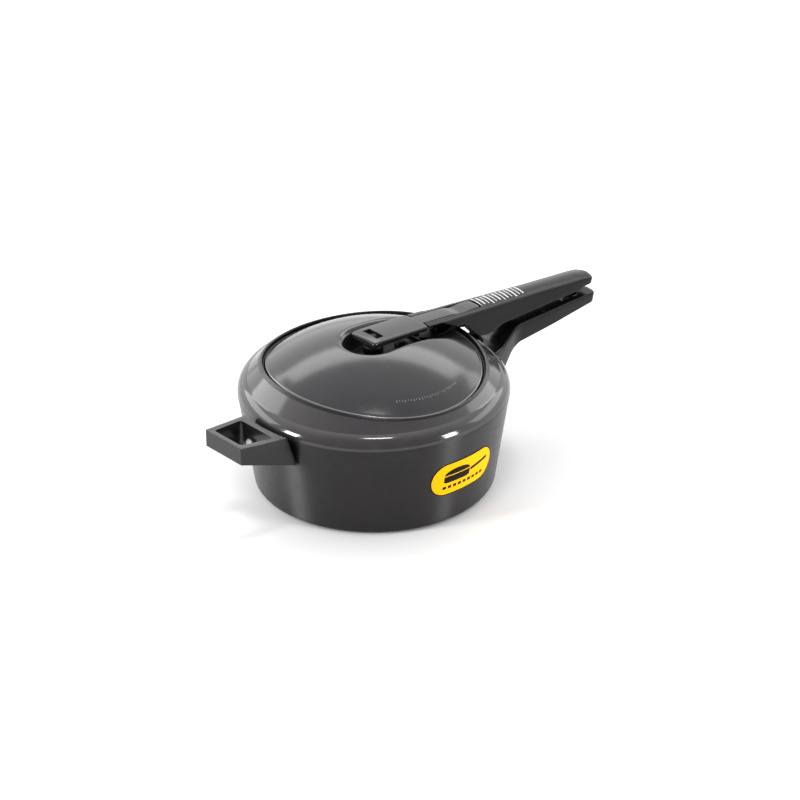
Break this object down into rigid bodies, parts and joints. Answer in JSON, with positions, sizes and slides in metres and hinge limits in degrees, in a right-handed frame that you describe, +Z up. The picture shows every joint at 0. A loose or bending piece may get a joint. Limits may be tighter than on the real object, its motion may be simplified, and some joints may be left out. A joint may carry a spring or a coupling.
{
  "type": "stovetop pressure cooker",
  "caption": "Stovetop pressure cooker with an oval lid that closes from inside, paired long handles, a helper handle and a fingertip vent lever.",
  "frame": {"origin": "centre of the pot's flat base, on the surface it stands on", "axes": "+Z up, +X along the long handles away from the pot, the helper handle at -X"},
  "size_m": [0.4008, 0.22, 0.1286],
  "materials": {
    "hard_anodised": "dark hard-anodised satin",
    "black_phenolic": "black phenolic, semi-gloss",
    "steel": "satin",
    "black_steel": "black enamelled steel, satin",
    "gasket_rubber": "matt",
    "brass": "satin brass-coloured",
    "label": "gloss printed label"
  },
  "bodies": {
    "pot": {"pot_body": "hard_anodised", "body_handle": "black_phenolic", "body_handle_bracket": "black_steel", "body_handle_rivet_1": "steel", "body_handle_rivet_2": "steel", "body_handle_rivet_3": "steel", "body_handle_rivet_4": "steel", "body_handle_screw": "steel", "latch_keeper": "steel", "helper_handle": "black_phenolic", "helper_bracket": "black_steel", "helper_rivet_1": "steel", "helper_rivet_2": "steel", "helper_screw_1": "steel", "helper_screw_2": "steel", "badge_label": "label"},
    "lid": {"lid": "hard_anodised", "gasket": "gasket_rubber", "vent_tube": "steel", "vent_nut": "steel", "safety_valve": "brass", "safety_valve_nut": "brass", "lid_bracket": "black_steel", "lid_bracket_rivet_1": "black_steel", "lid_bracket_rivet_2": "black_steel", "lid_bracket_rivet_3": "black_steel", "lid_handle": "black_phenolic", "lid_handle_cover": "black_phenolic", "lid_handle_screw": "steel", "lid_cover_screw": "steel", "lever_pin": "steel", "lever_spring": "steel", "latch_pin": "steel", "latch_spring": "steel"},
    "lever": {"fingertip_lever": "hard_anodised"},
    "weight": {"pressure_weight": "black_steel"},
    "latch": {"latch_hook": "black_phenolic"}
  },
  "joints": [
    {"name": "lid_tilt", "type": "hinge", "parent": "pot", "child": "lid", "pos_m": [0.104, 0, 0.098], "axis": [0, -1, 0], "range_deg": [0, 6]},
    {"name": "lever_press", "type": "hinge", "parent": "lid", "child": "lever", "pos_m": [0.077, 0, 0.117], "axis": [0, 1, 0], "range_deg": [0, 4], "stiffness_Nm_per_rad": 2, "springref_deg": -2.86, "deforming": ["lever_spring"]},
    {"name": "weight_lift", "type": "slide", "parent": "lid", "child": "weight", "axis": [0, 0, 1], "range_m": [0, 0.0056]},
    {"name": "latch_release", "type": "hinge", "parent": "lid", "child": "latch", "pos_m": [0.221, 0, 0.0985], "axis": [0, -1, 0], "range_deg": [0, 12.1], "deforming": ["latch_spring"]}
  ],
  "couplings": [
    {"joint": "weight_lift", "follows": "lever_press", "m_per_rad": 0.077},
    {"joint": "latch_release", "follows": "lid_tilt", "ratio": 2}
  ]
}
